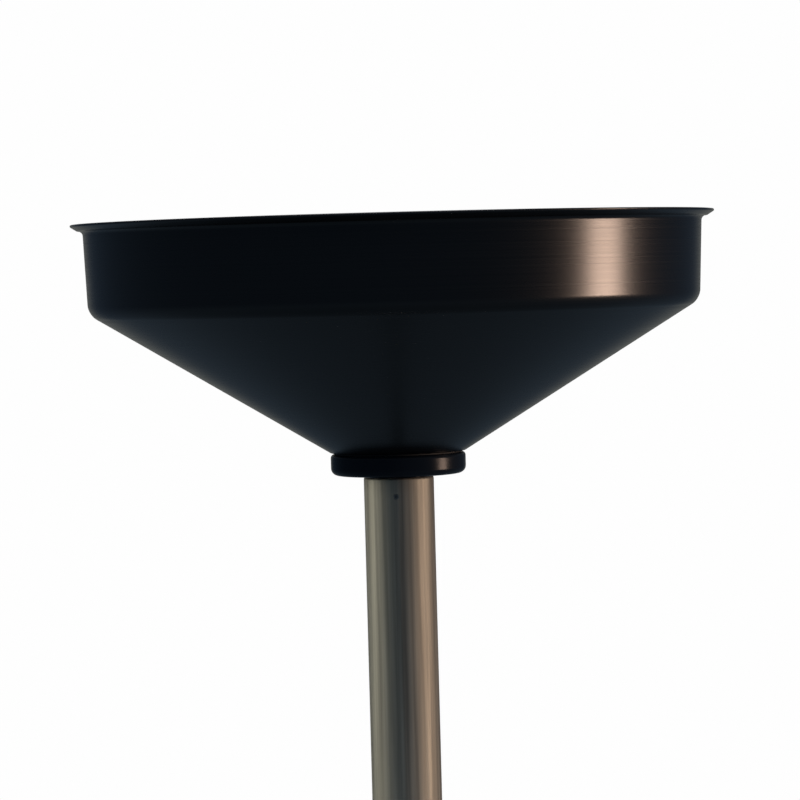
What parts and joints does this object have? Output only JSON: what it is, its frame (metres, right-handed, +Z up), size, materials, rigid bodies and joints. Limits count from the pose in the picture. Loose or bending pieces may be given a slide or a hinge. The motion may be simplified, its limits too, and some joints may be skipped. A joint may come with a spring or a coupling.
{
  "type": "tiki torch",
  "caption": "Gas tiki torch: black funnel bowl with a rolled lip, burner, guard and lava rock, on a tube post with a pull-off key valve and a covered bolt-down foot.",
  "frame": {"origin": "centre of the base plate's underside, on the post's axis", "axes": "+Z up the post; the valve key points along -Y, the front; +X is to the right seen from the front"},
  "size_m": [0.348, 0.3478, 1.6739],
  "materials": {
    "bowl_coat": "satin black powder coat over spun aluminium, faint spin lines",
    "cast_black": "satin black enamel on cast aluminium",
    "black_steel": "black powder coat on steel",
    "post_metal": "satin, drawn along its length",
    "tube_steel": "drawn tube",
    "burner_steel": "stainless, a little heat tinted",
    "plain_steel": "zinc plated",
    "dark_iron": "black malleable iron",
    "brass": "machined",
    "screw_steel": "plain stainless",
    "chrome": "polished",
    "hose_coat": "yellow coating on corrugated stainless hose",
    "lava": "porous volcanic rock, rough",
    "seat_white": "fluoropolymer",
    "rubber_black": "moulded"
  },
  "bodies": {
    "stand": {"bowl": "bowl_coat", "base_collar": "cast_black", "collar_gasket": "rubber_black", "clamp_flange": "plain_steel", "flange_screws": "plain_steel", "post_set_screws": "screw_steel", "riser_tube": "tube_steel", "riser_nut": "brass", "orifice_holder": "brass", "orifice_jet": "brass", "mixer_tube": "dark_iron", "burner_locknut": "plain_steel", "burner_pan": "burner_steel", "burner_baffle": "burner_steel", "burner_top": "burner_steel", "burner_screws": "plain_steel", "post": "post_metal", "riser_spacers": "rubber_black", "valve_body": "brass", "valve_end": "brass", "valve_seats": "seat_white", "stem_seal": "rubber_black", "gland_nut": "chrome", "escutcheon": "cast_black", "outlet_nut": "brass", "flex_connector": "hose_coat", "connector_nuts": "brass", "inlet_coupling": "dark_iron", "base_plate": "black_steel", "base_socket": "black_steel", "socket_screws": "plain_steel"},
    "shutter": {"air_shutter": "plain_steel", "shutter_screw": "brass"},
    "stem": {"valve_stem": "chrome", "valve_ball": "chrome"},
    "key": {"valve_key": "chrome"},
    "guard": {"flame_guard": "burner_steel"},
    "tray": {"rock_tray": "black_steel", "lava_rocks": "lava"},
    "cover": {"base_cover": "black_steel", "cover_grommet": "rubber_black"}
  },
  "joints": [
    {"name": "valve_turn", "type": "hinge", "parent": "stand", "child": "stem", "pos_m": [0, 0, 0.61], "axis": [0, -1, 0], "range_deg": [0, 90]},
    {"name": "key_pull", "type": "slide", "parent": "stem", "child": "key", "axis": [0, -1, 0], "range_m": [0, 0.035]},
    {"name": "shutter_turn", "type": "hinge", "parent": "stand", "child": "shutter", "pos_m": [0, 0, 1.5869], "axis": [0, 0, 1], "range_deg": [0, 45]},
    {"name": "guard_lift", "type": "slide", "parent": "stand", "child": "guard", "axis": [0, 0, 1], "range_m": [0, 0.08]},
    {"name": "tray_lift", "type": "slide", "parent": "stand", "child": "tray", "axis": [0, 0, 1], "range_m": [0, 0.08]},
    {"name": "cover_lift", "type": "slide", "parent": "stand", "child": "cover", "axis": [0, 0, 1], "range_m": [0, 0.25]}
  ]
}
